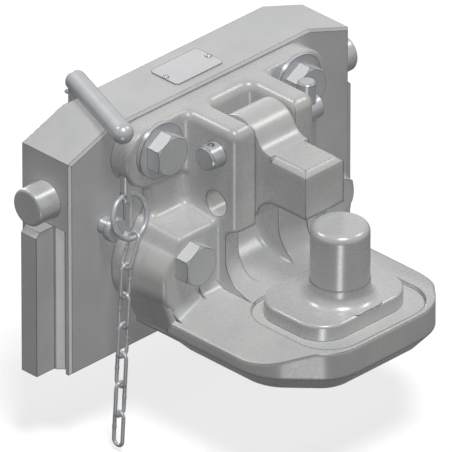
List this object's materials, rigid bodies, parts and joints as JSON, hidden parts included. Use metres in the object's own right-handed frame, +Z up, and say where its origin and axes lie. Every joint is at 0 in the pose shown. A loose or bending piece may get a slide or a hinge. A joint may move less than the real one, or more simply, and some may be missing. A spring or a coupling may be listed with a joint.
{
  "type": "pintle hook",
  "caption": "Slide-in hitch plate with side locking bolts, a bolted casting with an upright coupling pin and a hinged keeper above it.",
  "frame": {"origin": "midway between the two side rails, in their middle plane, at the foot of the slide plate", "axes": "+Z up along the slide rails, -Y out of the front towards the trailer, +X to the right seen from the front"},
  "size_m": [0.334, 0.2605, 0.2762],
  "materials": {
    "plate_paint": "satin grey paint",
    "cast_paint": "painted steel casting",
    "ground_steel": "ground",
    "bolt_steel": "zinc flake",
    "zinc_steel": "zinc plated",
    "plain_plate": "bare",
    "bronze": "sintered"
  },
  "bodies": {
    "hitch": {"slide_plate": "plate_paint", "rear_cover": "plate_paint", "cover_screws": "zinc_steel", "front_bush": "bronze", "rear_bush": "bronze", "nameplate": "plain_plate", "nameplate_rivets": "zinc_steel", "hook_body": "cast_paint", "upper_bolts": "bolt_steel", "upper_washers": "zinc_steel", "lower_bolts": "bolt_steel", "piton": "ground_steel", "piton_washer": "zinc_steel", "piton_nut": "bolt_steel", "parking_stud": "zinc_steel", "ring_pin": "zinc_steel"},
    "lever": {"pinion_shaft": "ground_steel", "lever_arm": "plate_paint", "lever_washer": "zinc_steel", "lever_nut": "bolt_steel", "handle_rod": "zinc_steel"},
    "left_lock_bolt": {"left_locking_bolt": "ground_steel", "left_rack": "ground_steel"},
    "right_lock_bolt": {"right_locking_bolt": "ground_steel", "right_rack": "ground_steel"},
    "hold_down": {"keeper": "cast_paint"},
    "pull_pin": {"keeper_pin": "zinc_steel", "keeper_pin_bar": "zinc_steel"},
    "ring": {"pull_ring": "zinc_steel"},
    "upper_chain": {"top_link": "zinc_steel"},
    "lower_chain": {"chain_links": "zinc_steel"}
  },
  "joints": [
    {"name": "lever_turn", "type": "hinge", "parent": "hitch", "child": "lever", "pos_m": [0, 0.03, 0.142], "axis": [0, 1, 0], "range_deg": [0, 57.3]},
    {"name": "left_bolt_slide", "type": "slide", "parent": "hitch", "child": "left_lock_bolt", "axis": [1, 0, 0], "range_m": [0, 0.02]},
    {"name": "right_bolt_slide", "type": "slide", "parent": "hitch", "child": "right_lock_bolt", "axis": [-1, 0, 0], "range_m": [0, 0.02]},
    {"name": "keeper_lift", "type": "hinge", "parent": "hitch", "child": "hold_down", "pos_m": [0, -0.074, 0.1684], "axis": [-1, 0, 0], "range_deg": [0, 130]},
    {"name": "pin_pull", "type": "slide", "parent": "hitch", "child": "pull_pin", "axis": [1, 0, 0], "range_m": [0, 0.1]},
    {"name": "ring_swing", "type": "hinge", "parent": "hitch", "child": "ring", "pos_m": [-0.1, -0.036, 0.141], "axis": [-1, 0, 0], "range_deg": [0, 40]},
    {"name": "chain_swing_out", "type": "hinge", "parent": "ring", "child": "upper_chain", "pos_m": [-0.1, -0.04537, 0.10832], "axis": [-1, 0, 0], "range_deg": [0, 60]},
    {"name": "chain_swing_side", "type": "hinge", "parent": "upper_chain", "child": "lower_chain", "pos_m": [-0.10942, -0.04537, 0.08613], "axis": [0, 1, 0], "range_deg": [0, 60]}
  ],
  "couplings": [
    {"joint": "left_bolt_slide", "follows": "lever_turn", "m_per_rad": 0.02},
    {"joint": "right_bolt_slide", "follows": "lever_turn", "m_per_rad": 0.02}
  ]
}
